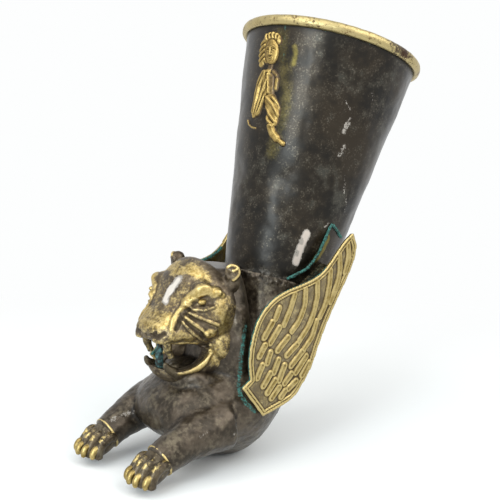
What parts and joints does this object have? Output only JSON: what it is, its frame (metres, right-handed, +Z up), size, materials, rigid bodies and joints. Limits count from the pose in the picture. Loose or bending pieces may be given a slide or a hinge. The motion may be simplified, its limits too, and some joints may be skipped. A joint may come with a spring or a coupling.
{
  "type": "rhyton drinking cup",
  "caption": "Horn-shaped metal drinking cup with a gilt rim and a raised figure, ending in the open-mouthed forepart of a winged lion that it stands on.",
  "frame": {"origin": "on the table, on the flat of the belly that the cup stands on, in the middle plane", "axes": "+Z up, the lion faces -Y, the lion's left is +X"},
  "size_m": [0.096, 0.1865, 0.2209],
  "materials": {
    "tarnished_metal": "dark brown-grey tarnish, satin, pitted",
    "worn_gilding": "gilding worn through to brown on the lows",
    "verdigris": "dull green-blue copper corrosion"
  },
  "bodies": {
    "root": {"horn_shell": "tarnished_metal", "rim_bead": "worn_gilding", "joint_collar": "tarnished_metal", "cup_floor": "tarnished_metal", "body_shell": "tarnished_metal", "head_shell": "worn_gilding", "lower_jaw": "worn_gilding", "tongue": "tarnished_metal", "jaw_strut": "verdigris", "upper_fangs": "tarnished_metal", "lower_fangs": "tarnished_metal", "eye_left": "worn_gilding", "eye_right": "worn_gilding", "ear_left": "worn_gilding", "ear_right": "worn_gilding", "foreleg_left": "tarnished_metal", "foreleg_right": "tarnished_metal", "wrist_band_left": "worn_gilding", "wrist_band_right": "worn_gilding", "paw_left": "tarnished_metal", "paw_right": "tarnished_metal", "claws_left": "worn_gilding", "claws_right": "worn_gilding", "wing_left": "worn_gilding", "wing_right": "worn_gilding", "wing_bracket_left": "tarnished_metal", "wing_bracket_right": "tarnished_metal", "wing_seat_left": "verdigris", "wing_seat_right": "verdigris", "relief_figure": "worn_gilding"}
  },
  "joints": []
}
